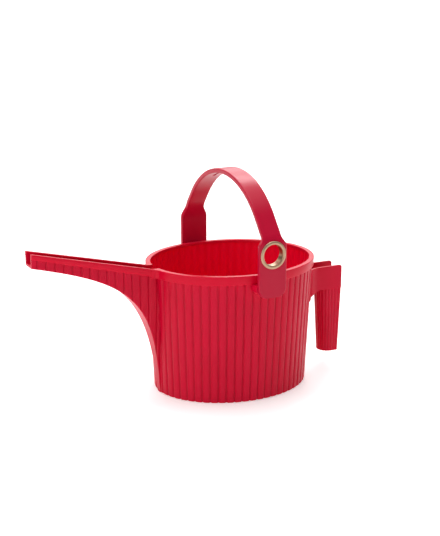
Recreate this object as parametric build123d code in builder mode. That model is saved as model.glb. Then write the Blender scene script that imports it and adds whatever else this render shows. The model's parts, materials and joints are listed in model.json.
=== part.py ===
"""Ribbed plastic watering can: oval vessel, open prow spout, channel grip at the rear and a swinging bail.

Millimetres, +Z up. The origin is the centre of the underside. The spout points along -X, the grip along +X.
"""
from math import acos, atan2, cos, hypot, pi, sin, tan
import os

from build123d import *

# Vessel: an oval that widens upwards, with narrow upright grooves all round
HEIGHT = 150.0
BASE_X, BASE_Y = 92.5, 76.2
TOP_X, TOP_Y = 99.2, 84.4
WALL = 2.2
FLOOR = 3.0
FLUTES = 58
GROOVE_WIDTH = 2.6
GROOVE_DEPTH = 1.3

# Rim: a flat lip with an outer band that stands proud of the ribs
RIM_X, RIM_Y = 100.7, 85.9
BAND_DROP = 10.0
LIP_WIDTH = 6.0
LIP_THICK = 2.5

# Spout: an open channel with upright sides, whose keel runs from the base to the tip
TIP_X = -241.5
TIP_TOP, TIP_BOTTOM = 183.2, 167.4
SPOUT_ROOT_X = -84.0
ROOT_HALF, TIP_HALF = 12.3, 10.0
KEEL_BASE_X = -93.0
SPOUT_WALL = 2.3
SPOUT_GROOVES = 15
FIRST_GROOVE_X, SPOUT_PITCH = -98.3, 9.75
SPOUT_BAND = 1.1
BAND_ROOT_DROP, BAND_TIP_DROP = 9.0, 5.5

# Pivots: a pad under the band each side, with a pin into the bail
PIVOT_Z = 135.0
PIN_R = 4.0
PIN_FIT = 0.08
PAD_HALF = 17.0
PAD_BOTTOM = 130.0
PAD_FACE = 93.4

# Bail: upright lugs that bend into a strap with a round crown
ARCH_R = 103.5
ARCH_Z = 150.0
LUG_Y = 99.3
BEND_Z, BEND_R = 191.5, 8.0
STRAP_THICK = 5.5
LUG_INSIDE = LUG_Y - STRAP_THICK
STRAP_HALF = 11.5
LUG_HALF = 16.8
LUG_BOTTOM = 126.6
LUG_TOP, NECK_Z = 184.0, 195.0
LUG_CORNER = 10.0
SOCKET_DEPTH = 3.4
CROWN_SLOT_Y, CROWN_SLOT_WIDTH, CROWN_SLOT_DEPTH = 46.0, 4.2, 1.2

# Eyelet in one lug
EYELET_Z = 174.5
EYELET_BORE_R = 11.6
EYELET_TUBE_R = 12.8
EYELET_FLANGE_R = 15.5
EYELET_FLANGE = 1.2
EYELET_TAIL = 2.2
WASHER_R, WASHER_THICK = 14.0, 1.0

# Grip: a bracket on the vessel and a leg that hangs from it, both open to the rear
GRIP_HALF = 12.4
GRIP_WALL = 2.2
GRIP_TOP, GRIP_SPLIT, GRIP_FOOT = 125.5, 97.0, 17.0
NOSE_TOP_X, NOSE_FOOT_X = 129.5, 134.9
NOSE_TOP = 111.0
REAR_TOP_X, REAR_FOOT_X = 146.5, 143.3
FLARE_X, FLARE_END_X, FLARE_END_Y = 114.0, 94.5, 27.0
NOSE_RIBS, SIDE_RIBS = 8, 3
RIB_RISE = 0.7

os.makedirs("parts", exist_ok=True)


def save(builder, name):
    """Label a finished piece and write it."""
    builder.part.label = name
    export_step(builder.part, f"parts/{name}.step")


def even_angles(a, b, count, steps=2880):
    """Angles of points spaced evenly along an ellipse."""
    step = 2 * pi / steps
    lengths = [0.0]
    for i in range(steps):
        t = (i + 0.5) * step
        lengths.append(lengths[-1] + hypot(a * sin(t), b * cos(t)) * step)
    angles, i = [], 0
    for k in range(count):
        target = lengths[-1] * k / count
        while lengths[i + 1] < target:
            i += 1
        angles.append((i + (target - lengths[i]) / (lengths[i + 1] - lengths[i])) * step)
    return angles


FLUTE_ANGLES = even_angles((BASE_X + TOP_X) / 2, (BASE_Y + TOP_Y) / 2, FLUTES)
HALF_GROOVE = GROOVE_WIDTH / (BASE_X + TOP_X)


def level(z, inset=0.0):
    """Half-axes of the vessel's outer envelope at a height, less an inset."""
    share = z / HEIGHT
    return BASE_X + (TOP_X - BASE_X) * share - inset, BASE_Y + (TOP_Y - BASE_Y) * share - inset


def oval_point(a, b, angle, inset=0.0):
    return ((a - inset) * cos(angle), (b - inset) * sin(angle))


def fluted_face(a, b):
    """Oval face whose edge is a row of bowed panels with a round groove between each two."""
    with BuildSketch(mode=Mode.PRIVATE) as drawing:
        with BuildLine():
            for i, start in enumerate(FLUTE_ANGLES):
                end = FLUTE_ANGLES[i + 1] if i + 1 < FLUTES else 2 * pi
                left, right = start + HALF_GROOVE, end - HALF_GROOVE
                Line(oval_point(a, b, left), oval_point(a, b, right))
                ThreePointArc(oval_point(a, b, right), oval_point(a, b, end, GROOVE_DEPTH),
                              oval_point(a, b, end + HALF_GROOVE))
        make_face()
    return drawing.sketch_local


# ---- the spout's shapes, used by the spout, the vessel and the rim ----
def spout_half(x, extra=0.0):
    """Half-width of the spout at a place along it."""
    share = (x - SPOUT_ROOT_X) / (TIP_X - SPOUT_ROOT_X)
    return ROOT_HALF + (TIP_HALF - ROOT_HALF) * share + extra


def spout_top(x):
    """Height of the spout's edge, a straight line from the rim to the tip."""
    return HEIGHT + (TIP_TOP - HEIGHT) * (x + RIM_X) / (TIP_X + RIM_X)


def spout_plan(extra, tip_x):
    """Plan of the spout, its sides moved out by extra."""
    root, tip = spout_half(SPOUT_ROOT_X, extra), spout_half(tip_x, extra)
    with BuildSketch(mode=Mode.PRIVATE) as drawing:
        with BuildLine():
            Polyline((SPOUT_ROOT_X, -root), (tip_x, -tip), (tip_x, tip), (SPOUT_ROOT_X, root), close=True)
        make_face()
    return drawing.sketch_local


def keel_profile(lift, tip_x, foot_z):
    """Side view of the spout, with the keel curve lifted by a wall's thickness."""
    top_over = 12.0
    foot = (KEEL_BASE_X + lift, foot_z)
    mouth = (tip_x, TIP_BOTTOM + lift + (tip_x - TIP_X) * -0.25)
    with BuildSketch(mode=Mode.PRIVATE) as drawing:
        with BuildLine():
            Bezier(foot, (-101.0 + lift, 118.0 + foot_z * 0.2), (-131.0 + lift, 139.5 + lift), mouth)
            Polyline(mouth, (tip_x, spout_top(tip_x) + top_over),
                     (SPOUT_ROOT_X, spout_top(SPOUT_ROOT_X) + top_over), (SPOUT_ROOT_X, foot_z), foot)
        make_face()
    return drawing.sketch_local


def prow_front(inset):
    """Front view of the spout, narrow at the foot and full width above."""
    foot, knee, shoulder = 4.2 - inset, 9.2 - inset, ROOT_HALF + 2 - inset
    with BuildSketch(mode=Mode.PRIVATE) as drawing:
        with BuildLine():
            Polyline((-foot, 0), (-knee, 88), (-shoulder, 128), (-shoulder, 210),
                     (shoulder, 210), (shoulder, 128), (knee, 88), (foot, 0), close=True)
        make_face()
    return drawing.sketch_local


def spout_solid(extra, lift, tip_x, foot_z):
    """The spout's outside, or its channel when extra is negative."""
    with BuildPart(mode=Mode.PRIVATE) as shape:
        with BuildSketch(Plane.XY.offset(foot_z)):
            add(spout_plan(extra, tip_x))
        extrude(amount=210 - foot_z)
        with BuildSketch(Plane.XZ.offset(-30)):
            add(keel_profile(lift, tip_x, foot_z))
        extrude(amount=60, mode=Mode.INTERSECT)
        with BuildSketch(Plane.YZ.offset(-260)):
            add(prow_front(-extra))
        extrude(amount=200, mode=Mode.INTERSECT)
    return shape.part


channel = spout_solid(-SPOUT_WALL, SPOUT_WALL, TIP_X - 8, FLOOR)

with BuildPart() as envelope:
    with BuildSketch():
        add(fluted_face(*level(0)))
    with BuildSketch(Plane.XY.offset(HEIGHT - LIP_THICK)):
        add(fluted_face(*level(HEIGHT - LIP_THICK)))
    loft(ruled=True)

# Vessel: fluted wall and flat floor, open to the spout at the front
with BuildPart() as vessel:
    add(envelope.part)
    with BuildSketch(Plane.XY.offset(FLOOR)):
        add(fluted_face(*level(FLOOR, WALL)))
    with BuildSketch(Plane.XY.offset(HEIGHT)):
        add(fluted_face(*level(HEIGHT, WALL)))
    loft(ruled=True, mode=Mode.SUBTRACT)
    add(channel, mode=Mode.SUBTRACT)
save(vessel, "vessel")

# Rim: lip and band round the vessel, cut where the spout opens
with BuildPart() as rim_band:
    with BuildSketch(Plane.XY.offset(HEIGHT - BAND_DROP)):
        Ellipse(RIM_X, RIM_Y)
        Ellipse(*level(HEIGHT - LIP_THICK), mode=Mode.SUBTRACT)
    extrude(amount=BAND_DROP)
    with BuildSketch(Plane.XY.offset(HEIGHT - LIP_THICK)):
        Ellipse(RIM_X, RIM_Y)
        Ellipse(RIM_X - LIP_WIDTH, RIM_Y - LIP_WIDTH, mode=Mode.SUBTRACT)
    extrude(amount=LIP_THICK)
    add(channel, mode=Mode.SUBTRACT)
save(rim_band, "rim_band")

# Space taken by the vessel and the rim, which the spout, pads and bracket stop against
with BuildPart() as core:
    with BuildSketch():
        Ellipse(*level(0))
    with BuildSketch(Plane.XY.offset(HEIGHT)):
        Ellipse(*level(HEIGHT))
    loft()
    with BuildSketch(Plane.XY.offset(HEIGHT - BAND_DROP)):
        Ellipse(RIM_X, RIM_Y)
    extrude(amount=BAND_DROP)
    with BuildSketch(Plane.XY.offset(HEIGHT)):
        Ellipse(*level(HEIGHT))
    extrude(amount=60)

# Spout: channel walls with grooves on the outside, cut to its sloping edge
with BuildPart() as spout:
    add(spout_solid(0, 0, TIP_X, 0))
    add(channel, mode=Mode.SUBTRACT)
    for i in range(SPOUT_GROOVES):
        groove_x = FIRST_GROOVE_X - i * SPOUT_PITCH
        with BuildSketch(Plane.XY):
            with Locations((groove_x, spout_half(groove_x, 0.3)), (groove_x, -spout_half(groove_x, 0.3))):
                Circle(GROOVE_WIDTH / 2)
        extrude(amount=210, mode=Mode.SUBTRACT)
    with BuildSketch(Plane.XZ.offset(-30)):
        with BuildLine():
            Polyline((-70, spout_top(-70)), (-260, spout_top(-260)), (-260, 260), (-70, 260), close=True)
        make_face()
    extrude(amount=60, mode=Mode.SUBTRACT)
    add(core.part, mode=Mode.SUBTRACT)
save(spout, "spout")

# Edge bands of the spout, one strip outside each wall
for side, sign in (("left", 1), ("right", -1)):
    with BuildPart() as strip:
        with BuildSketch(Plane.XY.offset(100)):
            root, tip = spout_half(SPOUT_ROOT_X), spout_half(TIP_X)
            with BuildLine():
                Polyline((SPOUT_ROOT_X, sign * root), (TIP_X, sign * tip), (TIP_X, sign * (tip + SPOUT_BAND)),
                         (SPOUT_ROOT_X, sign * (root + SPOUT_BAND)), close=True)
            make_face()
        extrude(amount=100)
        with BuildSketch(Plane.XZ.offset(-30)):
            with BuildLine():
                Polyline((SPOUT_ROOT_X, spout_top(SPOUT_ROOT_X)), (TIP_X, spout_top(TIP_X)),
                         (TIP_X, spout_top(TIP_X) - BAND_TIP_DROP),
                         (SPOUT_ROOT_X, spout_top(SPOUT_ROOT_X) - BAND_ROOT_DROP), close=True)
            make_face()
        extrude(amount=60, mode=Mode.INTERSECT)
        add(core.part, mode=Mode.SUBTRACT)
    save(strip, f"spout_band_{side}")

# Pivot pads and pins, the same each side
for side, sign in (("left", 1), ("right", -1)):
    outward = Plane(origin=(0, 0, 0), x_dir=(1, 0, 0), z_dir=(0, sign, 0))
    with BuildPart() as pad:
        with BuildSketch(outward.offset(60)):
            with Locations((0, sign * -(PAD_BOTTOM + HEIGHT - BAND_DROP) / 2)):
                RectangleRounded(2 * PAD_HALF, HEIGHT - BAND_DROP - PAD_BOTTOM, 2.0)
        extrude(amount=PAD_FACE - 60)
        with BuildSketch(outward.offset(60)):
            with Locations((0, sign * -PIVOT_Z)):
                Circle(PIN_R)
        extrude(amount=PAD_FACE - 60, mode=Mode.SUBTRACT)
        add(core.part, mode=Mode.SUBTRACT)
    save(pad, f"pivot_pad_{side}")
    with BuildPart() as pin:
        with BuildSketch(outward.offset(level(PIVOT_Z)[1] + 0.3)):
            with Locations((0, sign * -PIVOT_Z)):
                Circle(PIN_R)
        extrude(amount=LUG_INSIDE + SOCKET_DEPTH - 0.4 - level(PIVOT_Z)[1] - 0.3)
    save(pin, f"pivot_pin_{side}")

# Bail: arch seen from the front, trimmed to its outline seen from the side
BEND_LEAN = atan2(BEND_Z - ARCH_Z, LUG_Y) + acos(ARCH_R / hypot(BEND_Z - ARCH_Z, LUG_Y))


def arch_face(inset):
    """Front view of the bail's outside, or of the gap inside it: upright lugs, leaning straps, round crown."""
    lug, crown = LUG_Y - inset, ARCH_R - inset
    bend_z = BEND_Z - inset * tan(BEND_LEAN / 2)
    reach = (BEND_R - inset) * tan(BEND_LEAN / 2)
    with BuildSketch(mode=Mode.PRIVATE) as drawing:
        with BuildLine():
            for s in (1, -1):
                upper = (s * (lug - reach * sin(BEND_LEAN)), bend_z + reach * cos(BEND_LEAN))
                Line((0, LUG_BOTTOM), (s * lug, LUG_BOTTOM))
                Line((s * lug, LUG_BOTTOM), (s * lug, bend_z - reach))
                TangentArc((s * lug, bend_z - reach), upper, tangent=(0, 1))
                Line(upper, (s * crown * cos(BEND_LEAN), ARCH_Z + crown * sin(BEND_LEAN)))
            ThreePointArc((-crown * cos(BEND_LEAN), ARCH_Z + crown * sin(BEND_LEAN)), (0, ARCH_Z + crown),
                          (crown * cos(BEND_LEAN), ARCH_Z + crown * sin(BEND_LEAN)))
        make_face()
    return drawing.sketch_local


with BuildPart() as bail_handle:
    with BuildSketch(Plane.YZ.offset(-LUG_HALF)):
        add(arch_face(0))
        add(arch_face(STRAP_THICK), mode=Mode.SUBTRACT)
    extrude(amount=2 * LUG_HALF)
    with BuildSketch(Plane.XZ.offset(-120)):
        with BuildLine():
            bend = (LUG_HALF + STRAP_HALF) / 2, (LUG_TOP + NECK_Z) / 2
            for s in (1, -1):
                Line((0, LUG_BOTTOM), (s * (LUG_HALF - LUG_CORNER), LUG_BOTTOM))
                TangentArc((s * (LUG_HALF - LUG_CORNER), LUG_BOTTOM), (s * LUG_HALF, LUG_BOTTOM + LUG_CORNER),
                           tangent=(s, 0))
                Line((s * LUG_HALF, LUG_BOTTOM + LUG_CORNER), (s * LUG_HALF, LUG_TOP))
                TangentArc((s * LUG_HALF, LUG_TOP), (s * bend[0], bend[1]), tangent=(0, 1))
                TangentArc((s * STRAP_HALF, NECK_Z), (s * bend[0], bend[1]), tangent=(0, -1))
                Polyline((s * STRAP_HALF, NECK_Z), (s * STRAP_HALF, 270), (0, 270))
        make_face()
    extrude(amount=240, mode=Mode.INTERSECT)
    for sign in (1, -1):
        with BuildSketch(Plane.XZ.offset(sign * LUG_INSIDE)):
            with Locations((0, PIVOT_Z)):
                Circle(PIN_R + PIN_FIT)
        extrude(amount=sign * SOCKET_DEPTH, mode=Mode.SUBTRACT)
    with BuildSketch(Plane.XZ.offset(LUG_INSIDE - 1)):
        with Locations((0, EYELET_Z)):
            Circle(EYELET_TUBE_R)
    extrude(amount=STRAP_THICK + 2, mode=Mode.SUBTRACT)
    with BuildSketch(Plane.YZ.offset(-CROWN_SLOT_WIDTH / 2)):
        with Locations((0, ARCH_Z)):
            Circle(ARCH_R - STRAP_THICK + CROWN_SLOT_DEPTH)
            Circle(ARCH_R - STRAP_THICK - 1, mode=Mode.SUBTRACT)
        with Locations((0, ARCH_Z + ARCH_R)):
            Rectangle(2 * CROWN_SLOT_Y, ARCH_R, mode=Mode.INTERSECT)
    extrude(amount=CROWN_SLOT_WIDTH, mode=Mode.SUBTRACT)
save(bail_handle, "bail_handle")

# Eyelet: flanged tube through the lug, with a washer behind
with BuildPart() as eyelet_barrel:
    with BuildSketch(Plane.XZ.offset(LUG_INSIDE - EYELET_TAIL)):
        with Locations((0, EYELET_Z)):
            Circle(EYELET_TUBE_R)
    extrude(amount=STRAP_THICK + EYELET_TAIL)
    with BuildSketch(Plane.XZ.offset(LUG_Y)):
        with Locations((0, EYELET_Z)):
            Circle(EYELET_FLANGE_R)
    extrude(amount=EYELET_FLANGE)
    with BuildSketch(Plane.XZ.offset(LUG_INSIDE - EYELET_TAIL)):
        with Locations((0, EYELET_Z)):
            Circle(EYELET_BORE_R)
    extrude(amount=STRAP_THICK + EYELET_TAIL + EYELET_FLANGE, mode=Mode.SUBTRACT)
save(eyelet_barrel, "eyelet_barrel")

with BuildPart() as eyelet_washer:
    with BuildSketch(Plane.XZ.offset(LUG_INSIDE - WASHER_THICK)):
        with Locations((0, EYELET_Z)):
            Circle(WASHER_R)
            Circle(EYELET_TUBE_R, mode=Mode.SUBTRACT)
    extrude(amount=WASHER_THICK)
save(eyelet_washer, "eyelet_washer")


# Grip leg: ribbed channel that narrows downwards
def leg_face(nose_x, rear_x):
    """Section of the leg: ribs outside, plain inside."""
    outer, inner = GRIP_HALF - RIB_RISE, GRIP_HALF - GRIP_WALL
    path = []
    for k in range(SIDE_RIBS):
        path.append((rear_x + (nose_x - rear_x) * k / SIDE_RIBS, -outer))
    for k in range(NOSE_RIBS + 1):
        turn = -pi / 2 - pi * k / NOSE_RIBS
        path.append((nose_x + outer * cos(turn), outer * sin(turn)))
    for k in range(1, SIDE_RIBS + 1):
        path.append((nose_x + (rear_x - nose_x) * k / SIDE_RIBS, outer))
    with BuildSketch(mode=Mode.PRIVATE) as drawing:
        with BuildLine():
            for start, end in zip(path, path[1:]):
                SagittaArc(start, end, -RIB_RISE)
            Line(path[-1], (rear_x, inner))
            Line((rear_x, inner), (nose_x, inner))
            ThreePointArc((nose_x, inner), (nose_x - inner, 0), (nose_x, -inner))
            Line((nose_x, -inner), (rear_x, -inner))
            Line((rear_x, -inner), path[0])
        make_face()
    return drawing.sketch_local


with BuildPart() as grip_leg:
    with BuildSketch(Plane.XY.offset(GRIP_FOOT)):
        add(leg_face(NOSE_FOOT_X, REAR_FOOT_X))
    with BuildSketch(Plane.XY.offset(GRIP_SPLIT)):
        add(leg_face(NOSE_TOP_X, REAR_TOP_X))
    loft(ruled=True)
save(grip_leg, "grip_leg")

# Grip bracket: two plates flared into the vessel wall, joined lower down by the nose
plate_in = GRIP_HALF - GRIP_WALL
with BuildPart() as grip_bracket:
    with BuildSketch(Plane.XY.offset(GRIP_SPLIT)):
        for s in (1, -1):
            with BuildLine():
                Line((REAR_TOP_X, s * GRIP_HALF), (FLARE_X, s * GRIP_HALF))
                TangentArc((FLARE_X, s * GRIP_HALF), (FLARE_END_X, s * FLARE_END_Y), tangent=(-1, 0))
                Line((FLARE_END_X, s * FLARE_END_Y), (FLARE_END_X - 4, s * FLARE_END_Y))
                TangentArc((FLARE_X, s * plate_in), (FLARE_END_X - 4, s * FLARE_END_Y), tangent=(-1, 0))
                Line((FLARE_X, s * plate_in), (REAR_TOP_X, s * plate_in))
                Line((REAR_TOP_X, s * plate_in), (REAR_TOP_X, s * GRIP_HALF))
            make_face()
    extrude(amount=GRIP_TOP - GRIP_SPLIT)
    with BuildSketch(Plane.XY.offset(GRIP_SPLIT)):
        with BuildLine():
            ThreePointArc((NOSE_TOP_X, GRIP_HALF), (NOSE_TOP_X - GRIP_HALF, 0), (NOSE_TOP_X, -GRIP_HALF))
            Line((NOSE_TOP_X, -GRIP_HALF), (NOSE_TOP_X, -plate_in))
            ThreePointArc((NOSE_TOP_X, -plate_in), (NOSE_TOP_X - plate_in, 0), (NOSE_TOP_X, plate_in))
            Line((NOSE_TOP_X, plate_in), (NOSE_TOP_X, GRIP_HALF))
        make_face()
    extrude(amount=NOSE_TOP - GRIP_SPLIT)
    add(core.part, mode=Mode.SUBTRACT)
save(grip_bracket, "grip_bracket")
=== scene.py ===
"""Ribbed red plastic watering can: the looks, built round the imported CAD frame.

Metres, +Z up, the spout along -X, the bail's pivot axis along Y.
"""
import json
from math import acos, atan2, cos, hypot, pi, radians, sin, sqrt, tan

import bmesh
import bpy
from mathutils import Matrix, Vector


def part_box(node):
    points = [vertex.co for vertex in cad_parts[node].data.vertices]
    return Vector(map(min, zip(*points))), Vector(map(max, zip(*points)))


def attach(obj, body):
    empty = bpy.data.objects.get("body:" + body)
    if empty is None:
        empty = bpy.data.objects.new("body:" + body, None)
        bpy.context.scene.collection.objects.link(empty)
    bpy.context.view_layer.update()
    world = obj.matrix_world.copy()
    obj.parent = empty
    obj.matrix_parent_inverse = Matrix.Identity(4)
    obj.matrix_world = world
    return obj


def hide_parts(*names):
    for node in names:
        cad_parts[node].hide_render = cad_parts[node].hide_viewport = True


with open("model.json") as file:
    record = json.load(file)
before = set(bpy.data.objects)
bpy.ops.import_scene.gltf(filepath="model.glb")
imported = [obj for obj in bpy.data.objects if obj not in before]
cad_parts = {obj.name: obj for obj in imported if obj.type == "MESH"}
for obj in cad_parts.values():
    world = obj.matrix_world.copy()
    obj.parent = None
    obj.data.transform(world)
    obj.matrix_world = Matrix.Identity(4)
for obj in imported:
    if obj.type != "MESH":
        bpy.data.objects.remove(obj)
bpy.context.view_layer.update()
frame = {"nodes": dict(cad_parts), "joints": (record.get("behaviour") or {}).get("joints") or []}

MM = 0.001

# ---------------------------------------------------------------- sizes read from the frame
rim_low, rim_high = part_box("rim_band")
vessel_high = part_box("vessel")[1]
spout_low, spout_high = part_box("spout")
bail_low, bail_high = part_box("bail_handle")
eyelet_low, eyelet_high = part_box("eyelet_barrel")
washer_low, washer_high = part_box("eyelet_washer")
bracket_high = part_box("grip_bracket")[1]
leg_low, leg_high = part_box("grip_leg")
pad_low, pad_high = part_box("pivot_pad_left")
pin_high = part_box("pivot_pin_left")[1]
pivot = Vector(frame["joints"][0]["pos_m"])
EYE_Z = (eyelet_low.z + eyelet_high.z) / 2

HEIGHT = rim_high.z
RIM_X, RIM_Y = rim_high.x, rim_high.y
BAND_BOTTOM = rim_low.z
WALL_TOP = vessel_high.z

# ---------------------------------------------------------------- driving sizes
DRAFT_X, DRAFT_Y = 6.6 * MM, 8.1 * MM
WALL = 2.2 * MM
FLOOR = 3.0 * MM
FOOT_RING, FOOT_EDGE, DISH = 7.0 * MM, 1.6 * MM, 1.0 * MM
INNER_CORNER = 3.0 * MM
FLUTES = 58
STEPS_PER_FLUTE = 14
GROOVE_DEPTH = 1.35 * MM
GROOVE_HALF = 1.75 * MM
PANEL_CROWN = 0.22 * MM
INNER_WAVE = 0.95 * MM
INNER_FACE = 1.8 * MM
BURIED = 1.75 * MM

FRONT_X, MOUTH_X = -40 * MM, -60 * MM
MOUTH_FOOT, MOUTH_TOP = 3.2 * MM, 11.6 * MM
MOUTH_SLOPE = (MOUTH_TOP - MOUTH_FOOT) / HEIGHT
MOUTH_SILL = FLOOR + 0.05 * MM

LIP_WIDTH = 6.0 * MM
LIP_THICK = 2.5 * MM
LIP_ROUND, LIP_TURN_DOWN = 0.8 * MM, 1.2 * MM
BAND_THICK = 1.6 * MM
BAND_DRAFT = 0.4 * MM
CORNER_FILLET = 6.0 * MM
RIM_GAP = 9.5 * MM

SPOUT_WALL = 2.3 * MM
SPOUT_ROOT_X = -84.0 * MM
ROOT_HALF, TIP_HALF, PROW_FOOT_HALF = 12.3 * MM, 10.0 * MM, 4.2 * MM
TIP_BOTTOM = 167.4 * MM
KEEL_FOOT_X = -93.0 * MM
FIRST_GROOVE, SPOUT_PITCH = -98.3 * MM, 9.75 * MM
SPOUT_GROOVE_DEPTH = 1.15 * MM
KEEL_CORNER = 0.9 * MM
SPOUT_BAND = 1.1 * MM
BAND_ROOT_DROP, BAND_TIP_DROP = 9.0 * MM, 5.5 * MM
CAP_DROP, CAP_LAP = 2.2 * MM, 0.3 * MM
STRIP_START, STRIP_SUNK = 6.3 * MM, 0.2 * MM

ARCH_R, ARCH_Z = 103.5 * MM, 150.0 * MM
BEND_Z, NEAR_BEND, FAR_BEND = 191.5 * MM, 20.0 * MM, 42.0 * MM
STRAP_THICK = 5.5 * MM
STRAP_HALF = 11.5 * MM
LUG_TOP, FAR_LUG_TOP, NECK_Z = 184.0 * MM, 179.5 * MM, 195.0 * MM
LUG_CORNER = 10.0 * MM
STRAP_EDGE = 1.2 * MM
CROWN_GROOVE, CROWN_GROOVE_HALF, CROWN_GROOVE_DEPTH = 46.0 * MM, 1.9 * MM, 1.3 * MM
HOLE_R = 13.0 * MM
SOCKET_R = 4.25 * MM

GRIP_WALL = 2.2 * MM
GRIP_HALF = leg_high.y + 0.7 * MM
GRIP_SPLIT = leg_high.z
NOSE_TOP_X, NOSE_FOOT_X = 129.5 * MM, 134.9 * MM
NOSE_MIDDLE, NOSE_TOP = 104.0 * MM, 111.0 * MM
REAR_FOOT_X = 143.3 * MM
FLARE_X, FLARE_END_X, FLARE_END_Y = 115.0 * MM, 94.2 * MM, 27.0 * MM
PLATE_CORNER = 3.0 * MM
GUSSET = 5.0 * MM
LEG_RIBS, RIB_DEPTH = 16, 0.75 * MM

PAD_CORNER = 5.0 * MM


def smooth(t):
    """Soft step from 0 to 1."""
    t = min(1.0, max(0.0, t))
    return t * t * (3 - 2 * t)


def mix(a, b, t):
    return a + (b - a) * t


# ---------------------------------------------------------------- mesh helpers
def skin(columns, rows, place):
    """A grid of columns by rows, each point put where place(column, row) says, with meeting edges merged."""
    bm = bmesh.new()
    across, along = len(columns) - 1, len(rows) - 1
    bmesh.ops.create_grid(bm, x_segments=across, y_segments=along, size=1.0)
    for v in bm.verts:
        i = round((v.co.x + 1) / 2 * across)
        j = round((v.co.y + 1) / 2 * along)
        v.co = place(columns[i], rows[j])
    bmesh.ops.remove_doubles(bm, verts=bm.verts, dist=1e-6)
    return bm


def close_ends(bm):
    """Fill the open ends and point every face outwards."""
    open_edges = [e for e in bm.edges if len(e.link_faces) == 1]
    if open_edges:
        bmesh.ops.holes_fill(bm, edges=open_edges, sides=0)
    bmesh.ops.recalc_face_normals(bm, faces=bm.faces)


def steps(start, end, count):
    """Evenly spaced values from start to end, both ends included."""
    return [start + (end - start) * i / count for i in range(count + 1)]


def piece(name, bm, body, material, slot, *replaced, sharp=radians(38)):
    """Turn a bmesh into a named object on its body, shaded smooth except across sharp edges."""
    for e in bm.edges:
        if len(e.link_faces) == 2 and e.calc_face_angle(0.0) > sharp:
            e.smooth = False
    for f in bm.faces:
        f.smooth = True
    mesh = bpy.data.meshes.new(name)
    bm.to_mesh(mesh)
    bm.free()
    mesh.materials.append(material)
    obj = bpy.data.objects.new(name, mesh)
    bpy.context.scene.collection.objects.link(obj)
    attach(obj, body)
    if replaced:
        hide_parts(*replaced)
    return obj


def soften(obj, width, segments, angle=radians(50)):
    """Round an object's sharp edges."""
    bevel = obj.modifiers.new("soft_edges", "BEVEL")
    bevel.width = width
    bevel.segments = segments
    bevel.limit_method = "ANGLE"
    bevel.angle_limit = angle
    bevel.harden_normals = False
    return obj


# ---------------------------------------------------------------- shader groups
def make_group(name, inputs, outputs):
    """An empty shader node group with its sockets. Returns the tree and its two end nodes."""
    tree = bpy.data.node_groups.new(name, "ShaderNodeTree")
    for label, kind, default in inputs:
        tree.interface.new_socket(label, in_out="INPUT", socket_type=kind).default_value = default
    for label, kind in outputs:
        tree.interface.new_socket(label, in_out="OUTPUT", socket_type=kind)
    return tree, tree.nodes.new("NodeGroupInput"), tree.nodes.new("NodeGroupOutput")


def noise(tree, vector, scale, detail=2.0, roughness=0.5):
    node = tree.nodes.new("ShaderNodeTexNoise")
    node.inputs["Scale"].default_value = scale
    node.inputs["Detail"].default_value = detail
    node.inputs["Roughness"].default_value = roughness
    tree.links.new(vector, node.inputs["Vector"])
    return node.outputs["Fac"]


def math_node(tree, operation, a, b, clamp=False):
    node = tree.nodes.new("ShaderNodeMath")
    node.operation = operation
    node.use_clamp = clamp
    for socket, value in zip(node.inputs, (a, b)):
        if isinstance(value, (int, float)):
            socket.default_value = value
        else:
            tree.links.new(value, socket)
    return node.outputs[0]


def moulded_surface():
    """Moulded plastic: cloudy tone, faint orange peel and fine rub marks."""
    tree, start, end = make_group(
        "moulded_surface",
        [("Tone Scale", "NodeSocketFloat", 18.0), ("Peel Scale", "NodeSocketFloat", 900.0)],
        [("Tone", "NodeSocketFloat"), ("Peel", "NodeSocketFloat"), ("Rub", "NodeSocketFloat")])
    coords = tree.nodes.new("ShaderNodeTexCoord").outputs["Object"]
    tone = noise(tree, coords, 18.0, 3.0)
    tree.links.new(start.outputs["Tone Scale"], tone.node.inputs["Scale"])
    peel = noise(tree, coords, 900.0, 2.0)
    tree.links.new(start.outputs["Peel Scale"], peel.node.inputs["Scale"])
    stretch = tree.nodes.new("ShaderNodeMapping")
    stretch.inputs["Scale"].default_value = (60.0, 60.0, 900.0)
    tree.links.new(coords, stretch.inputs["Vector"])
    rub = noise(tree, stretch.outputs["Vector"], 1.0, 2.0)
    tree.links.new(tone, end.inputs["Tone"])
    tree.links.new(peel, end.inputs["Peel"])
    tree.links.new(rub, end.inputs["Rub"])
    return tree


def edge_wear_and_crevice_shade():
    """Mask of convex edges, broken up so that rubbed edges come and go; and a mask of concave creases for
    painted shade.
    """
    tree, start, end = make_group(
        "edge_wear_and_crevice_shade", [("Low", "NodeSocketFloat", 0.52), ("High", "NodeSocketFloat", 0.6)],
        [("Edge", "NodeSocketFloat"), ("Crevice Shade", "NodeSocketFloat")])
    coords = tree.nodes.new("ShaderNodeTexCoord").outputs["Object"]
    point = tree.nodes.new("ShaderNodeNewGeometry").outputs["Pointiness"]
    ramp = tree.nodes.new("ShaderNodeMapRange")
    ramp.clamp = True
    tree.links.new(point, ramp.inputs["Value"])
    tree.links.new(start.outputs["Low"], ramp.inputs["From Min"])
    tree.links.new(start.outputs["High"], ramp.inputs["From Max"])
    broken = math_node(tree, "MULTIPLY", ramp.outputs["Result"], noise(tree, coords, 120.0, 4.0), True)
    tree.links.new(broken, end.inputs["Edge"])
    # Painted shade: concave creases, such as just under the band, get a mask that darkens the colour as if
    # shade fell there.
    crevice_shade_ramp = tree.nodes.new("ShaderNodeMapRange")
    crevice_shade_ramp.clamp = True
    crevice_shade_ramp.inputs["From Min"].default_value = 0.49
    crevice_shade_ramp.inputs["From Max"].default_value = 0.42
    tree.links.new(point, crevice_shade_ramp.inputs["Value"])
    tree.links.new(crevice_shade_ramp.outputs["Result"], end.inputs["Crevice Shade"])
    return tree


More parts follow.
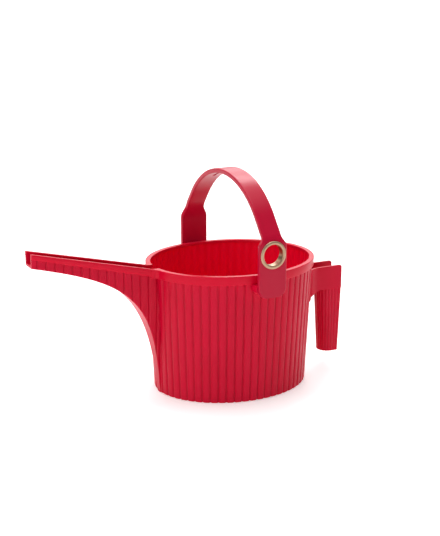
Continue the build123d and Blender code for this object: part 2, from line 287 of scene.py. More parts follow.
MOULDED = moulded_surface()
WEAR_AND_SHADE = edge_wear_and_crevice_shade()


def new_material(name):
    material = bpy.data.materials.new(name)
    material.use_nodes = True
    tree = material.node_tree
    return material, tree, tree.nodes["Principled BSDF"]


def place_group(tree, group):
    node = tree.nodes.new("ShaderNodeGroup")
    node.node_tree = group
    return node


def blend_colour(tree, factor, a, b):
    node = tree.nodes.new("ShaderNodeMix")
    node.data_type = "RGBA"
    tree.links.new(factor, node.inputs["Factor"])
    for socket, value in ((node.inputs["A"], a), (node.inputs["B"], b)):
        if isinstance(value, tuple):
            socket.default_value = (*value, 1.0)
        else:
            tree.links.new(value, socket)
    return node.outputs["Result"]


def remap(tree, value, low, high):
    """Spread a 0.3 to 0.7 noise over low to high."""
    node = tree.nodes.new("ShaderNodeMapRange")
    node.inputs["From Min"].default_value = 0.3
    node.inputs["From Max"].default_value = 0.7
    node.inputs["To Min"].default_value = low
    node.inputs["To Max"].default_value = high
    tree.links.new(value, node.inputs["Value"])
    return node.outputs["Result"]


def add_bump(tree, shader, height, distance, strength):
    bump = tree.nodes.new("ShaderNodeBump")
    bump.inputs["Distance"].default_value = distance
    bump.inputs["Strength"].default_value = strength
    tree.links.new(height, bump.inputs["Height"])
    tree.links.new(bump.outputs["Normal"], shader.inputs["Normal"])


def red_plastic(name, base, deep, rough_low, rough_high, peel_strength, gloss):
    """Satin moulded plastic in two close reds, a little paler where edges are rubbed, with painted shade
    darkening the creases.
    """
    material, tree, shader = new_material(name)
    surface = place_group(tree, MOULDED)
    wear_and_shade = place_group(tree, WEAR_AND_SHADE)
    tone = blend_colour(tree, remap(tree, surface.outputs["Tone"], 0.0, 1.0), base, deep)
    # Painted shade: the red is darkened to 70% of the deeper red in concave creases, standing in for the
    # shade that falls there.
    shaded = blend_colour(tree, wear_and_shade.outputs["Crevice Shade"], tone, tuple(c * 0.70 for c in deep))
    worn = tuple(min(1.0, c * 1.12 + 0.004) for c in base)
    tree.links.new(blend_colour(tree, wear_and_shade.outputs["Edge"], shaded, worn), shader.inputs["Base Color"])
    tree.links.new(remap(tree, surface.outputs["Rub"], rough_low, rough_high), shader.inputs["Roughness"])
    add_bump(tree, shader, surface.outputs["Peel"], 0.05 * MM, peel_strength)
    shader.inputs["Specular IOR Level"].default_value = gloss
    return material


def champagne_metal():
    """Satin anodised ring with fine turning marks."""
    material, tree, shader = new_material("satin_champagne_metal")
    wear_and_shade = place_group(tree, WEAR_AND_SHADE)
    coords = tree.nodes.new("ShaderNodeTexCoord").outputs["Object"]
    centre = tree.nodes.new("ShaderNodeMapping")
    centre.inputs["Location"].default_value = (0.0, 0.0, -EYE_Z)
    tree.links.new(coords, centre.inputs["Vector"])
    flat = tree.nodes.new("ShaderNodeVectorMath")
    flat.operation = "MULTIPLY"
    flat.inputs[1].default_value = (1.0, 0.0, 1.0)
    tree.links.new(centre.outputs["Vector"], flat.inputs[0])
    length = tree.nodes.new("ShaderNodeVectorMath")
    length.operation = "LENGTH"
    tree.links.new(flat.outputs["Vector"], length.inputs[0])
    rings = noise(tree, length.outputs["Value"], 1.0)
    rings.node.noise_dimensions = "1D"
    rings.node.inputs["Scale"].default_value = 9000.0
    tree.links.new(length.outputs["Value"], rings.node.inputs["W"])
    blotch = noise(tree, coords, 160.0, 3.0)
    tone = blend_colour(tree, remap(tree, blotch, 0.0, 1.0), (0.38, 0.235, 0.145), (0.46, 0.30, 0.19))
    rubbed = blend_colour(tree, wear_and_shade.outputs["Edge"], tone, (0.62, 0.48, 0.35))
    tree.links.new(rubbed, shader.inputs["Base Color"])
    tree.links.new(remap(tree, rings, 0.3, 0.42), shader.inputs["Roughness"])
    add_bump(tree, shader, rings, 0.02 * MM, 0.25)
    shader.inputs["Metallic"].default_value = 1.0
    return material


# name, main red, deeper red, roughness from and to, orange peel, gloss
SATIN_RED = red_plastic(
    "satin_red_plastic", (0.60, 0.0018, 0.030), (0.55, 0.0012, 0.024), 0.30, 0.38, 0.20, 0.12)
# Painted light: the inside of the tub is a paler copy of the red, standing in for light glowing through the
# thin wall and bouncing inside.
INNER_RED_PAINTED_LIGHT = red_plastic(
    "inner_red_painted_light_plastic", (0.88, 0.0012, 0.036), (0.80, 0.0010, 0.031), 0.34, 0.42, 0.20, 0.08)
LIP_RED = red_plastic(
    "lip_red_plastic", (0.64, 0.0015, 0.026), (0.60, 0.0012, 0.023), 0.29, 0.30, 0.12, 0.12)
BAIL_RED = red_plastic(
    "bail_red_plastic", (0.49, 0.0020, 0.030), (0.45, 0.0020, 0.026), 0.29, 0.30, 0.12, 0.20)
CHAMPAGNE = champagne_metal()


# ---------------------------------------------------------------- vessel
def even_angles(a, b, count, fine=2880):
    """Angles of points spaced evenly along an ellipse."""
    step = 2 * pi / fine
    lengths = [0.0]
    for i in range(fine):
        t = (i + 0.5) * step
        lengths.append(lengths[-1] + hypot(a * sin(t), b * cos(t)) * step)
    angles, i = [], 0
    for k in range(count):
        target = lengths[-1] * k / count
        while lengths[i + 1] < target:
            i += 1
        angles.append((i + (target - lengths[i]) / (lengths[i + 1] - lengths[i])) * step)
    return angles + [2 * pi]


def half_axes(z):
    """Half-axes of the wall's outside at a height."""
    share = (HEIGHT - z) / HEIGHT
    return vessel_high.x - DRAFT_X * share, vessel_high.y - DRAFT_Y * share


ROUND = FLUTES * STEPS_PER_FLUTE
OVAL = even_angles(*half_axes(HEIGHT / 2), ROUND)
FLUTE_PITCH = pi * sum(half_axes(HEIGHT / 2)) / FLUTES


def groove_depth(off_centre, deepest):
    """Depth of a flat-bottomed groove with sloping sides at a distance from its centre line."""
    return deepest * smooth(1.3 * (1 - abs(off_centre) / GROOVE_HALF))


def flute_at(i, inside):
    """Depth of the wall's surface at a step round it: grooves outside, a soft wave inside."""
    part = (i % STEPS_PER_FLUTE) / STEPS_PER_FLUTE
    if inside:
        return INNER_WAVE * (0.5 + 0.5 * cos(2 * pi * part))
    off_centre = min(part, 1 - part) * FLUTE_PITCH
    return PANEL_CROWN * (2 * off_centre / FLUTE_PITCH - 1) ** 2 + groove_depth(off_centre, GROOVE_DEPTH)


def vessel_rows():
    """Section of the vessel from the middle of the underside round to the middle of the floor.

    Each row is (share of the radius, distance inside the wall's outside, height, how much the flutes show).
    """
    edge, corner = FOOT_EDGE, INNER_CORNER
    rows = [(0.0, 0.0, DISH, 0), (0.5, 0.0, DISH, 0), (1.0, FOOT_RING + 1.5 * MM, DISH, 0)]
    rows += [(1.0, FOOT_RING, 0.0, 0), (1.0, edge + 0.8 * MM, 0.0, 0.4)]
    rows += [(1.0, edge * (1 - sin(a)), edge * (1 - cos(a)), 1) for a in steps(0, pi / 2, 4)]
    rows += [(1.0, 0.0, z, 1) for z in steps(8 * MM, WALL_TOP, 12)]
    rows += [(1.0, WALL, z, 1) for z in steps(WALL_TOP, 9 * MM, 12)]
    rows += [(1.0, WALL + corner * (1 - cos(a)), FLOOR + corner * (1 - sin(a)), 1 - sin(a))
             for a in steps(0, pi / 2, 4)]
    rows += [(0.8, WALL, FLOOR, 0), (0.4, WALL, FLOOR, 0), (0.0, WALL, FLOOR, 0)]
    return rows


def vessel_point(i, row):
    share, inset, z, fluted = row
    a, b = half_axes(z)
    depth = inset + flute_at(i, inset >= WALL) * fluted
    turn = OVAL[i]
    return Vector(((a - depth) * share * cos(turn), (b - depth) * share * sin(turn), z))


# ---------------------------------------------------------------- spout shapes
def spout_half(x):
    """Half-width of the spout's outside at a place along it."""
    return mix(ROOT_HALF, TIP_HALF, (x - SPOUT_ROOT_X) / (spout_low.x - SPOUT_ROOT_X))


def prow_half(z):
    """Half-width of the prow at a height: narrow at the foot, full above."""
    share = 0.35 * smooth(z / HEIGHT) + 0.65 * min(1.0, z / (0.9 * HEIGHT))
    return mix(PROW_FOOT_HALF, ROOT_HALF + 2 * MM, share)


def spout_edge_z(x):
    """Height of the spout's edge."""
    return mix(HEIGHT, spout_high.z, (x + RIM_X) / (spout_low.x + RIM_X))


# control points of the keel curve, from the foot to the tip
KEEL = [Vector((KEEL_FOOT_X, 0, 0)), Vector((-101.0 * MM, 0, 118.0 * MM)),
        Vector((-131.0 * MM, 0, 139.5 * MM)), Vector((spout_low.x, 0, TIP_BOTTOM))]


def keel_point(t):
    """Point on the keel curve, from the foot at 0 to the tip at 1."""
    a, b, c, d = KEEL
    s = 1 - t
    return a * s ** 3 + b * 3 * s * s * t + c * 3 * s * t * t + d * t ** 3


def keel_share(x):
    """The keel curve's parameter where it passes a place along X."""
    low, high = 0.0, 1.0
    for _ in range(40):
        middle = (low + high) / 2
        if keel_point(middle).x > x:
            low = middle
        else:
            high = middle
    return (low + high) / 2


def wall_root(z, y):
    """Where the vessel's inner surface is in front, at a height and distance to the side."""
    a, b = half_axes(min(z, HEIGHT))
    inner_a, inner_b = a - WALL - 0.3 * MM, b - WALL
    return -inner_a * sqrt(max(0.0, 1 - (y / inner_b) ** 2))


def spout_groove(x):
    """Depth of the groove at a place along the spout."""
    behind = FIRST_GROOVE - x
    if behind < -SPOUT_PITCH / 2:
        return 0.0
    off = behind - SPOUT_PITCH * round(behind / SPOUT_PITCH)
    if abs(off) >= GROOVE_HALF or x < spout_low.x + 3 * MM:
        return 0.0
    return groove_depth(off, SPOUT_GROOVE_DEPTH)


def spout_columns():
    """Places along X: close together at the grooves and up the steep foot of the keel."""
    places = {round(keel_point(t).x, 6) for t in steps(0.0, 1.0, 60)}
    behind = FIRST_GROOVE
    while behind > spout_low.x + 3 * MM:
        places |= {round(behind + GROOVE_HALF * k / 4, 6) for k in range(-5, 6)}
        behind -= SPOUT_PITCH
    places = sorted(p for p in places if spout_low.x <= p <= KEEL_FOOT_X)
    return places + [SPOUT_ROOT_X]


WALL_ROWS, KEEL_ROWS = 26, 6
SKIN_ROWS = 2 * WALL_ROWS + KEEL_ROWS


def keel_wall(t):
    """Step from the keel's outside to its inside: forward-facing wall at the foot, floor at the tip."""
    run = (keel_point(min(1.0, t + 0.01)) - keel_point(max(0.0, t - 0.01))).normalized()
    return Vector((run.z * (1 - t), 0, -run.x)) * SPOUT_WALL


def spout_point(x, row):
    """Surface of the channel.

    Rows run down one wall outside, across the keel, up the other wall, and back the same way inside.
    """
    rooted = x == SPOUT_ROOT_X
    t = 0.0 if rooted else keel_share(x)
    top = spout_edge_z(min(x, keel_point(t).x)) - 0.4 * MM
    inside = row > SKIN_ROWS
    if inside:
        row = 2 * SKIN_ROWS + 1 - row
    wall = SPOUT_WALL if inside else 0.0
    keel = keel_point(t) + (keel_wall(t) if inside else Vector())
    low = max(keel.z, 0.3 * MM + wall)
    lean = 1 - smooth((KEEL_FOOT_X - x) / (10 * MM))
    side = -1 if row <= WALL_ROWS else 1
    if row <= WALL_ROWS or row >= WALL_ROWS + KEEL_ROWS:
        share = row / WALL_ROWS if row <= WALL_ROWS else (SKIN_ROWS - row) / WALL_ROWS
        z = mix(top, low, share)
        place = keel.x - DRAFT_X / HEIGHT * (z - low) * lean
        y = min(spout_half(x), prow_half(z)) - wall
        groove = 0.0 if inside else spout_groove(place) * smooth((z - low) / (1.2 * MM))
        corner = KEEL_CORNER * max(0.0, 1 - (z - low) / KEEL_CORNER) ** 2
        y = side * (y - groove - corner)
    else:
        z, place = low, keel.x
        y = mix(-1, 1, (row - WALL_ROWS) / KEEL_ROWS)
        y *= min(spout_half(x), prow_half(z)) - wall - KEEL_CORNER
    return Vector((wall_root(z, y) if rooted else place, y, z))


# ---------------------------------------------------------------- vessel and spout pieces
def centre_of(element):
    if isinstance(element, bmesh.types.BMVert):
        return element.co
    return sum((v.co for v in element.verts), Vector()) / len(element.verts)


def cut_front(bm, place, square):
    """Add a straight cut across the front of the tub."""
    front = [g for g in bm.verts[:] + bm.edges[:] + bm.faces[:] if centre_of(g).x < FRONT_X]
    bmesh.ops.bisect_plane(bm, geom=front, dist=1e-7, plane_co=place, plane_no=square)


def close_mouth(bm):
    """Close the cut walls at both sides of the mouth, and its sill."""
    edge_verts = {v for e in bm.edges if len(e.link_faces) == 1 for v in e.verts}
    foot = MOUTH_FOOT + MOUTH_SLOPE * MOUTH_SILL
    for side in (1, -1):
        corners = [v for v in edge_verts
                   if abs(v.co.z - MOUTH_SILL) < 1e-5 and abs(side * v.co.y - foot) < 1e-5]
        corners.sort(key=lambda v: v.co.x)
        bm.edges.new((corners[0], corners[-1]))
    bmesh.ops.holes_fill(bm, edges=[e for e in bm.edges if len(e.link_faces) < 2], sides=0)
    bmesh.ops.recalc_face_normals(bm, faces=bm.faces)


def build_vessel():
    """Fluted tub, cut open at the front where the prow stands, in two reds: the inside is a paler red, as
    painted light.
    """
    bm = skin(list(range(ROUND + 1)), vessel_rows(), vessel_point)
    for side in (1, -1):
        cut_front(bm, (0, side * MOUTH_FOOT, 0), (0, side, -MOUTH_SLOPE))
    cut_front(bm, (0, 0, MOUTH_SILL), (0, 0, 1))
    gone = []
    for f in bm.faces:
        c = f.calc_center_median()
        if c.x < MOUTH_X and c.z > MOUTH_SILL and abs(c.y) < MOUTH_FOOT + MOUTH_SLOPE * c.z:
            gone.append(f)
    bmesh.ops.delete(bm, geom=gone, context="FACES")
    close_mouth(bm)
    # Painted light: faces inside the wall take the paler inner red.
    for f in bm.faces:
        c = f.calc_center_median()
        a, b = half_axes(c.z)
        if c.z > 2 * DISH and hypot(c.x / (a - INNER_FACE), c.y / (b - INNER_FACE)) < 1:
            f.material_index = 1
    obj = piece("vessel_tub", bm, "can", SATIN_RED, "red_plastic", "vessel")
    obj.data.materials.append(INNER_RED_PAINTED_LIGHT)
    return obj


def build_spout():
    """Open channel with upright grooves on its sides and a smooth keel."""
    rows = list(range(2 * SKIN_ROWS + 2)) + [0]
    bm = skin(spout_columns(), rows, spout_point)
    close_ends(bm)
    return piece("spout_channel", bm, "can", SATIN_RED, "red_plastic", "spout")


# ---------------------------------------------------------------- rim and edge bands
def arc(centre, radius, start, end, count):
    """Points on an arc, as (across, up) pairs."""
    return [(centre[0] + radius * cos(a), centre[1] + radius * sin(a)) for a in steps(start, end, count)]


def rim_section():
    """Closed section of the rim: distance inside the rim's outside, and height."""
    r, foot_r = LIP_ROUND, 0.5 * MM
    inner, hook = LIP_WIDTH - LIP_TURN_DOWN, HEIGHT - 3.4 * MM
    out = arc((r, HEIGHT - r), r, pi, pi / 2, 4)
    out += arc((LIP_WIDTH - r, HEIGHT - r), r, pi / 2, 0, 4)
    out += [(LIP_WIDTH, hook), (inner, hook), (inner, HEIGHT - LIP_THICK)]
    out += [(BAND_THICK, HEIGHT - LIP_THICK), (BAND_THICK, BAND_BOTTOM)]
    out += arc((foot_r, BAND_BOTTOM + foot_r), foot_r, 3 * pi / 2, pi, 3)
    return out + [out[0]]


def rim_turns():
    """Angles round the rim, close together near the spout."""
    gap = RIM_GAP / RIM_Y
    near = 24 * MM / RIM_Y
    front = steps(-pi + gap, -pi + near, 28)
    return front + steps(-pi + near, pi - near, 420)[1:-1] + [-t for t in reversed(front)]


def corner_fill(y):
    """How far the rim's outside runs forward to meet the spout's side in a hollow curve."""
    beyond = abs(y) - ROOT_HALF - SPOUT_BAND
    if beyond >= CORNER_FILLET:
        return 0.0
    left = CORNER_FILLET - max(0.0, beyond)
    return CORNER_FILLET - sqrt(CORNER_FILLET ** 2 - left ** 2)


def build_rim():
    """Flat lip and outer band, open where the spout leaves."""
    section = rim_section()

    def place(turn, row):
        inset, z = section[row]
        draft = BAND_DRAFT * (HEIGHT - z) / (HEIGHT - BAND_BOTTOM)
        x, y = (RIM_X - inset - draft) * cos(turn), (RIM_Y - inset - draft) * sin(turn)
        if x < 0 and inset < BAND_THICK - 0.1 * MM:
            x -= corner_fill(y)
        return Vector((x, y, z))

    bm = skin(rim_turns(), list(range(len(section))), place)
    close_ends(bm)
    return piece("rim_lip", bm, "can", LIP_RED, "red_plastic", "rim_band", sharp=radians(50))


def strip_section(drop):
    """Closed section of the strip that caps a spout wall: distance inside the strip's outside, and height."""
    r = 0.7 * MM
    width = SPOUT_WALL + SPOUT_BAND + CAP_LAP
    out = arc((r, -r), r, pi, pi / 2, 3) + arc((width - r, -r), r, pi / 2, 0, 3)
    out += [(width, -CAP_DROP), (SPOUT_BAND + CAP_LAP, -CAP_DROP), (SPOUT_BAND + CAP_LAP, -drop)]
    out += [(r / 2, -drop), (0.0, r / 2 - drop)]
    return out + [out[0]]


def build_spout_band(name, side, node):
    """Plain strip along one wall's edge, a hair below the lip where it runs in under it."""
    start, end = -RIM_X + STRIP_START, spout_low.x

    def place(x, row):
        inset, height = strip_section(mix(BAND_ROOT_DROP, BAND_TIP_DROP, (x - start) / (end - start)))[row]
        sunk = STRIP_SUNK * smooth((x + RIM_X + 3 * MM) / (3 * MM))
        top = max(spout_edge_z(x), HEIGHT) - sunk
        return Vector((x, side * (spout_half(x) + SPOUT_BAND - inset), top + height))

    bm = skin(steps(start, end, 60), list(range(len(strip_section(0.0)))), place)
    close_ends(bm)
    return soften(piece(name, bm, "can", LIP_RED, "red_plastic", node, sharp=radians(50)), 0.5 * MM, 2)


# ---------------------------------------------------------------- bail
LEAN = atan2(BEND_Z - ARCH_Z, bail_high.y) + acos(ARCH_R / hypot(BEND_Z - ARCH_Z, bail_high.y))


def half_path(bend_radius):
    """Stations on the bail's outside from a lug's foot up to the crown's middle, as (y, z)."""
    lug, foot = bail_high.y, bail_low.z
    reach = bend_radius * tan(LEAN / 2)
    heights = [foot + LUG_CORNER * (1 - cos(a)) for a in steps(0, pi / 2, 10)]
    heights += steps(foot + LUG_CORNER + 1.5 * MM, BEND_Z - reach, 60)
    upright = [(lug, z) for z in heights]
    bend = arc((lug - bend_radius, BEND_Z - reach), bend_radius, 0, LEAN, 12)[1:]
    shoulder = (ARCH_R * cos(LEAN), ARCH_Z + ARCH_R * sin(LEAN))
    lean = [(mix(bend[-1][0], shoulder[0], t), mix(bend[-1][1], shoulder[1], t)) for t in steps(0, 1, 12)[1:]]
    crown = arc((0, ARCH_Z), ARCH_R, LEAN, pi / 2, 40)[1:]
    return upright + bend + lean + crown


def strap_path():
    """Stations from the far lug's foot over the crown to the near lug's."""
    return half_path(FAR_BEND) + [(-y, z) for y, z in reversed(half_path(NEAR_BEND)[:-1])]


def strap_half(y, z):
    """Half-width of the bail at a station: rounded foot, wide lug, curved shoulder, narrow strap."""
    lug_top = FAR_LUG_TOP if y > 0 else LUG_TOP
    rise = z - bail_low.z
    if rise < LUG_CORNER:
        return bail_high.x - LUG_CORNER + sqrt(max(0.0, LUG_CORNER ** 2 - (LUG_CORNER - rise) ** 2))
    return mix(bail_high.x, STRAP_HALF, smooth((z - lug_top) / (NECK_Z - lug_top)))


def strap_section(half, groove):
    """Closed section of the strap, as (across, depth) pairs: rounded edges and a grooved inner face."""
    r = STRAP_EDGE
    section = [(across, 0.0) for across in steps(-half + r, half - r, 26)]
    section += [(half - r + r * sin(a), r - r * cos(a)) for a in steps(0, pi / 2, 4)[1:]]
    section += [(half - r + r * cos(a), STRAP_THICK - r + r * sin(a)) for a in steps(0, pi / 2, 4)]
    inner = [k * (half - r) for k in steps(1, 0.25, 8)[1:]]
    inner += [CROWN_GROOVE_HALF + d for d in (0.2 * MM, -0.2 * MM)]
    inner += [0.0] + [-across for across in reversed(inner)]
    inner_depths = [STRAP_THICK - (groove if abs(across) < CROWN_GROOVE_HALF else 0.0) for across in inner]
    section += list(zip(inner, inner_depths))
    section += [(-half + r - r * sin(a), STRAP_THICK - r + r * cos(a)) for a in steps(0, pi / 2, 4)]
    section += [(-half + r - r * cos(a), r - r * sin(a)) for a in steps(0, pi / 2, 4)]
    return section


def crown_groove(y):
    """Depth of the underside groove along the strap."""
    return CROWN_GROOVE_DEPTH * smooth((CROWN_GROOVE - abs(y)) / (3 * MM))


def open_round(bm, radius, height, cut):
    """Delete the faces that cut(centre) picks round an axis along Y, and round off the edges left open."""
    faces = []
    for f in bm.faces:
        c = f.calc_center_median()
        if hypot(c.x, c.z - height) < radius - 0.2 * MM and cut(c):
            faces.append(f)
    bmesh.ops.delete(bm, geom=faces, context="FACES")
    edges = [e for e in bm.edges if len(e.link_faces) == 1]
    for v in {v for e in edges for v in e.verts}:
        out = Vector((v.co.x, 0, v.co.z - height)).normalized() * radius
        v.co = Vector((out.x, v.co.y, height + out.z))
    return edges


def cut_socket(bm, side):
    """Blind hole in a lug's inner face, which the pivot pin turns in."""
    face = bail_high.y - STRAP_THICK
    edges = open_round(bm, SOCKET_R, pivot.z, lambda c: abs(side * c.y - face) < 0.3 * MM)
    deeper = bmesh.ops.extrude_edge_only(bm, edges=edges)["geom"]
    for v in deeper:
        if isinstance(v, bmesh.types.BMVert):
            v.co.y = side * (pin_high.y + 0.2 * MM)
    bmesh.ops.holes_fill(bm, edges=[e for e in bm.edges if len(e.link_faces) == 1], sides=0)


def build_bail():
    """Strap with two lugs: upright lugs, leaning straps and a round crown."""
    path = strap_path()
    last = len(path) - 1
    sections = [strap_section(strap_half(y, z), crown_groove(y)) for y, z in path]

    def place(column, k):
        across, depth = sections[k][column]
        before, after = path[max(0, k - 1)], path[min(last, k + 1)]
        run, rise = after[0] - before[0], after[1] - before[1]
        length = hypot(run, rise)
        y, z = path[k]
        return Vector((across, y - depth * rise / length, z + depth * run / length))

    bm = skin(list(range(len(sections[0]))), list(range(last + 1)), place)
    close_ends(bm)
    for side in (1, -1):
        cut_socket(bm, side)
    bmesh.ops.bridge_loops(bm, edges=open_round(bm, HOLE_R, EYE_Z, lambda c: c.y < -90 * MM))
    bmesh.ops.recalc_face_normals(bm, faces=bm.faces)
    return piece("bail_strap", bm, "bail", BAIL_RED, "red_plastic", "bail_handle")


# ---------------------------------------------------------------- eyelet
def ring(name, section, node, material, slot):
    """A closed section, as (radius, y) pairs, spun round the eyelet's axis."""
    bm = bmesh.new()
    verts = [bm.verts.new((0, y, EYE_Z + r)) for r, y in section]
    for a, b in zip(verts, verts[1:] + verts[:1]):
        bm.edges.new((a, b))
    bmesh.ops.spin(bm, geom=bm.verts[:] + bm.edges[:], axis=(0, 1, 0), cent=(0, 0, EYE_Z), angle=2 * pi,
                   steps=96, use_merge=True)
    bmesh.ops.remove_doubles(bm, verts=bm.verts, dist=1e-7)
    bmesh.ops.recalc_face_normals(bm, faces=bm.faces)
    return piece(name, bm, "bail", material, slot, node, sharp=radians(50))


def build_eyelet():
    """Rolled flange, tube and turned-over tail; and the washer behind the lug."""
    bore = eyelet_high.x - 3.9 * MM
    tube, flange = bore + 1.2 * MM, eyelet_high.x
    front, back = eyelet_low.y, eyelet_high.y
    lug_face = bail_low.y
    section = [(bore, mix(front, back, t)) for t in (0.3, 0.6, 0.85)]
    section += [(bore + 0.15 * MM, back), (tube, back), (tube, lug_face + 2.4 * MM)]
    section += [(flange - 0.6 * MM, lug_face + 0.9 * MM), (flange, lug_face - 0.35 * MM)]
    section += [(flange - 0.25 * MM, front + 0.35 * MM), (flange - 0.9 * MM, front)]
    section += [(bore + 1.3 * MM, front), (bore + 0.6 * MM, front + 0.15 * MM)]
    section += [(bore + 0.15 * MM, front + 0.7 * MM)]
    ring("eyelet_tube", section, "eyelet_barrel", CHAMPAGNE, "eyelet_metal")
    inner, outer = washer_high.x - 1.2 * MM, washer_high.x
    face, lug = washer_high.y, washer_low.y
    section = [(inner, lug), (outer, lug), (outer, mix(lug, face, 0.6)), (outer - 0.4 * MM, face)]
    section += [(inner, face)]
    ring("eyelet_ring", section, "eyelet_washer", CHAMPAGNE, "eyelet_metal")


# ---------------------------------------------------------------- grip
def leg_path(share, height):
    """Point on the leg's outside in plan: back edge, side, round nose, side, back edge, for share 0 to 1."""
    drop = (GRIP_SPLIT - height) / (GRIP_SPLIT - leg_low.z)
    nose_x = mix(NOSE_TOP_X, NOSE_FOOT_X, drop)
    rear_x = mix(bracket_high.x, REAR_FOOT_X, drop)
    straight, half_round = rear_x - nose_x, pi * GRIP_HALF
    length = (2 * straight + half_round) * share
    if length < straight:
        return Vector((rear_x - length, -GRIP_HALF, height)), Vector((0, -1, 0))
    if length > straight + half_round:
        return Vector((nose_x + length - straight - half_round, GRIP_HALF, height)), Vector((0, 1, 0))
    turn = -pi / 2 - (length - straight) / GRIP_HALF
    out = Vector((cos(turn), sin(turn), 0))
    return Vector((nose_x, 0, height)) + out * GRIP_HALF, out


def build_leg():
    """Ribbed channel that narrows downwards, open to the rear."""
    fine = LEG_RIBS * 8
    outer = [("out", i / fine) for i in range(fine + 1)]
    inner = [("in", 1 - i / 40) for i in range(41)]
    ring_steps = outer + inner + [outer[0]]
    heights = [leg_low.z, leg_low.z + 0.6 * MM] + steps(leg_low.z + 5 * MM, GRIP_SPLIT + 1.0 * MM, 10)

    def place(step, height):
        kind, share = step
        point, out = leg_path(share, height)
        if kind == "in":
            return point - out * GRIP_WALL
        part = abs((share * LEG_RIBS) % 1.0 - 0.5) * 2
        return point - out * RIB_DEPTH * part ** 3

    bm = skin(ring_steps, heights, place)
    close_ends(bm)
    obj = piece("grip_leg_channel", bm, "can", SATIN_RED, "red_plastic", "grip_leg")
    return soften(obj, 0.45 * MM, 2, radians(62))


def flare_arc(x, y, end_x, end_y):
    """Arc that leaves (x, y) towards the vessel and ends at (end_x, end_y)."""
    run, rise = x - end_x, end_y - y
    radius = (run * run + rise * rise) / (2 * rise)
    total = atan2(run, radius - rise)
    return [(x - radius * sin(a), y + radius * (1 - cos(a))) for a in steps(0, total, 16)]


def plate_skin(side):
    """Outside of one bracket plate, from its rear edge to where it flares into the vessel."""
    rear, top = bracket_high.x, bracket_high.z
    path = [(rear - PLATE_CORNER * (1 - cos(a)), GRIP_HALF) for a in steps(0, pi / 2, 8)]
    path += [(x, GRIP_HALF) for x in steps(rear - PLATE_CORNER - 1 * MM, FLARE_X, 12)[:-1]]
    path += flare_arc(FLARE_X, GRIP_HALF, FLARE_END_X, FLARE_END_Y)
    path += [(FLARE_END_X - d, FLARE_END_Y + 1.25 * d) for d in (1.2 * MM, 2.4 * MM, 3.6 * MM, 4.8 * MM)]

    def place(point, share):
        x, y = point
        over = max(0.0, x - (rear - PLATE_CORNER))
        upper = top - PLATE_CORNER + sqrt(max(0.0, PLATE_CORNER ** 2 - over ** 2))
        lower = GRIP_SPLIT - GUSSET * smooth((FLARE_X + 2 * MM - x) / (15 * MM))
        return Vector((x, side * y, mix(lower, upper, share)))

    bm = skin(path, steps(0, 1, 6), place)
    return walled(bm, lambda f: f.calc_center_median().x, Vector((0, side, 0)))


def walled(bm, rank, out):
    """Give a skin its wall, kept clear of the vessel's inside. The face that ranks highest looks outwards."""
    if max(bm.faces, key=rank).normal.dot(out) < 0:
        bmesh.ops.reverse_faces(bm, faces=bm.faces)
    bmesh.ops.solidify(bm, geom=bm.faces[:], thickness=GRIP_WALL)
    bmesh.ops.recalc_face_normals(bm, faces=bm.faces)
    for v in bm.verts:
        a, b = half_axes(v.co.z)
        share = hypot(v.co.x / (a - BURIED), v.co.y / (b - BURIED))
        if share < 1:
            v.co.x /= share
            v.co.y /= share
    return bm


def nose_skin():
    """Outside of the round wall that joins the plates lower down."""
    def place(turn, z):
        return Vector((NOSE_TOP_X + GRIP_HALF * cos(turn), GRIP_HALF * sin(turn), z))

    bm = skin(steps(pi / 2, 3 * pi / 2, 28), [GRIP_SPLIT - 0.5 * MM, NOSE_MIDDLE, NOSE_TOP], place)
    return walled(bm, lambda f: -f.calc_center_median().x, Vector((-1, 0, 0)))


def merged(*parts):
    """Several meshes as one."""
    whole = bmesh.new()
    for part in parts:
        mesh = bpy.data.meshes.new("part")
        part.to_mesh(mesh)
        part.free()
        whole.from_mesh(mesh)
        bpy.data.meshes.remove(mesh)
    return whole


def build_bracket():
    """Two plates flared into the wall, rounded at the upper rear corners, and the nose between them."""
    bm = merged(plate_skin(1), plate_skin(-1), nose_skin())
    obj = piece("grip_bracket_plates", bm, "can", SATIN_RED, "red_plastic", "grip_bracket")
    return soften(obj, 0.6 * MM, 2, radians(62))


# ---------------------------------------------------------------- pivots
def build_pad(name, side, node):
    """Pad under the band, hollowed in a curve at its lower corners, against which the lug runs."""
    half, top, foot = pad_high.x, pad_high.z, pad_low.z
    r = PAD_CORNER
    outline = [(-half, top), (half, top)]
    outline += [(half - r + r * cos(a), foot + r - r * sin(a)) for a in steps(0, pi / 2, 8)]
    outline += [(-half + r - r * sin(a), foot + r - r * cos(a)) for a in steps(0, pi / 2, 8)]
    outline.append(outline[0])

    def place(k, y):
        return Vector((outline[k][0], side * y, outline[k][1]))

    bm = skin(list(range(len(outline))), [0.5 * pad_high.y, pad_high.y], place)
    close_ends(bm)
    for x in steps(-half, half, 12)[1:-1]:
        bmesh.ops.bisect_plane(bm, geom=bm.verts[:] + bm.edges[:] + bm.faces[:], dist=1e-7,
                               plane_co=(x, 0, 0), plane_no=(1, 0, 0))
    for v in bm.verts:
        if abs(v.co.y) < 0.6 * pad_high.y:
            a, b = half_axes(v.co.z)
            v.co.y = side * (b - BURIED) * sqrt(1 - (v.co.x / (a - BURIED)) ** 2)
    return soften(piece(name, bm, "can", SATIN_RED, "red_plastic", node), 0.8 * MM, 3)


build_vessel()
build_spout()
build_rim()
build_spout_band("spout_edge_left", 1, "spout_band_left")
build_spout_band("spout_edge_right", -1, "spout_band_right")
build_bail()
build_eyelet()
build_leg()
build_bracket()
build_pad("pad_left", 1, "pivot_pad_left")
build_pad("pad_right", -1, "pivot_pad_right")
for pin in ("pivot_pin_left", "pivot_pin_right"):
    frame["nodes"][pin].data.materials.clear()
    frame["nodes"][pin].data.materials.append(SATIN_RED)


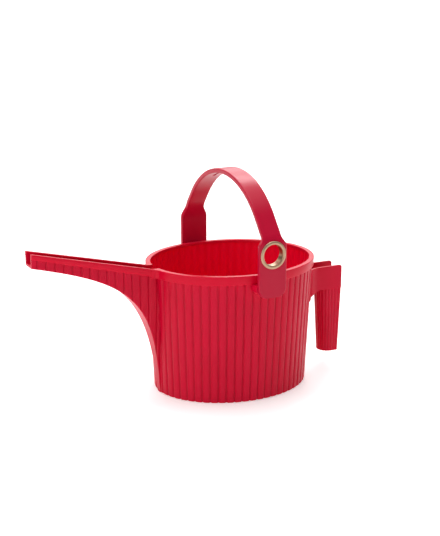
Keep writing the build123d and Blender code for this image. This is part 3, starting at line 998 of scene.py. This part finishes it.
# ---------------------------------------------------------------- floor, light, camera
def glowing_paper(name, colour):
    """Matt paper with a faint mottle, which glows more the farther it is from the can."""
    material, tree, shader = new_material(name)
    coords = tree.nodes.new("ShaderNodeTexCoord").outputs["Object"]
    darker = tuple(c * 0.985 for c in colour)
    mottle = remap(tree, noise(tree, coords, 6.0, 3.0), 0.0, 1.0)
    tree.links.new(blend_colour(tree, mottle, colour, darker), shader.inputs["Base Color"])
    shader.inputs["Roughness"].default_value = 0.9
    reach = tree.nodes.new("ShaderNodeVectorMath")
    reach.operation = "LENGTH"
    tree.links.new(coords, reach.inputs[0])
    far = tree.nodes.new("ShaderNodeMapRange")
    far.inputs["From Min"].default_value = 2.0
    far.inputs["From Max"].default_value = 8.0
    tree.links.new(reach.outputs["Value"], far.inputs["Value"])
    glow = blend_colour(tree, far.outputs["Result"], (0.30, 0.30, 0.30), (0.85, 0.85, 0.85))
    tree.links.new(glow, shader.inputs["Emission Color"])
    shader.inputs["Emission Strength"].default_value = 1.0
    return material


def build_floor():
    """Pale flat floor that reaches the horizon."""
    bm = bmesh.new()
    bmesh.ops.create_grid(bm, x_segments=1, y_segments=1, size=60.0)
    mesh = bpy.data.meshes.new("floor")
    bm.to_mesh(mesh)
    bm.free()
    mesh.materials.append(glowing_paper("pale_floor", (0.93, 0.93, 0.93)))
    floor = bpy.data.objects.new("floor", mesh)
    bpy.context.scene.collection.objects.link(floor)


def area_light(name, place, target, size, power):
    """Soft light at a place, aimed at a target."""
    data = bpy.data.lights.new(name, "AREA")
    data.shape = "RECTANGLE"
    data.size, data.size_y = size
    data.energy = power
    light = bpy.data.objects.new(name, data)
    bpy.context.scene.collection.objects.link(light)
    light.location = place
    light.rotation_euler = (Vector(target) - Vector(place)).to_track_quat("-Z", "Y").to_euler()
    light.visible_camera = False


def build_world():
    """White where the camera sees it, and dim as a light."""
    scene = bpy.context.scene
    scene.view_settings.view_transform = "Standard"
    scene.world = bpy.data.worlds.new("studio")
    scene.world.use_nodes = True
    tree = scene.world.node_tree
    background = tree.nodes["Background"]
    background.inputs["Color"].default_value = (1.0, 1.0, 1.0, 1.0)
    seen = tree.nodes.new("ShaderNodeLightPath").outputs["Is Camera Ray"]
    tree.links.new(math_node(tree, "MAXIMUM", seen, 0.20), background.inputs["Strength"])


def build_lights():
    """Soft studio light: a wide ceiling behind, boxes overhead and behind the bail, fills at both sides."""
    middle = (0, 0, 0.10)
    area_light("ceiling_light", (1.5, 6.0, 4.5), (1.5, 6.0, 0.0), (14.0, 14.0), 640)
    area_light("top_softbox", (0.0, 0.1, 1.9), middle, (1.4, 1.4), 18)
    area_light("crown_softbox", (1.1, 1.4, 2.0), (0, 0, 0.25), (0.8, 0.5), 14)
    area_light("back_softbox", (1.5, 3.0, 1.5), middle, (5.0, 1.6), 45)
    area_light("left_softbox", (-2.2, -1.3, 1.0), middle, (1.4, 1.4), 15)
    area_light("right_softbox", (2.0, -1.0, 0.9), middle, (0.8, 1.2), 2)


def build_camera():
    """Long lens from the front left, a little above the rim."""
    azimuth, elevation, distance = radians(-27.30), radians(15.16), 1.2903
    aim = Vector((-0.0106, 0.0055, 0.1364))
    back = Vector((sin(azimuth) * cos(elevation), -cos(azimuth) * cos(elevation), sin(elevation)))
    data = bpy.data.cameras.new("camera")
    data.sensor_width = 36.0
    data.lens = 74.58
    camera = bpy.data.objects.new("camera", data)
    bpy.context.scene.collection.objects.link(camera)
    camera.location = aim + back * distance
    camera.rotation_mode = "QUATERNION"
    camera.rotation_quaternion = (-back).to_track_quat("-Z", "Y")
    bpy.context.scene.camera = camera


build_floor()
build_world()
build_lights()
build_camera()
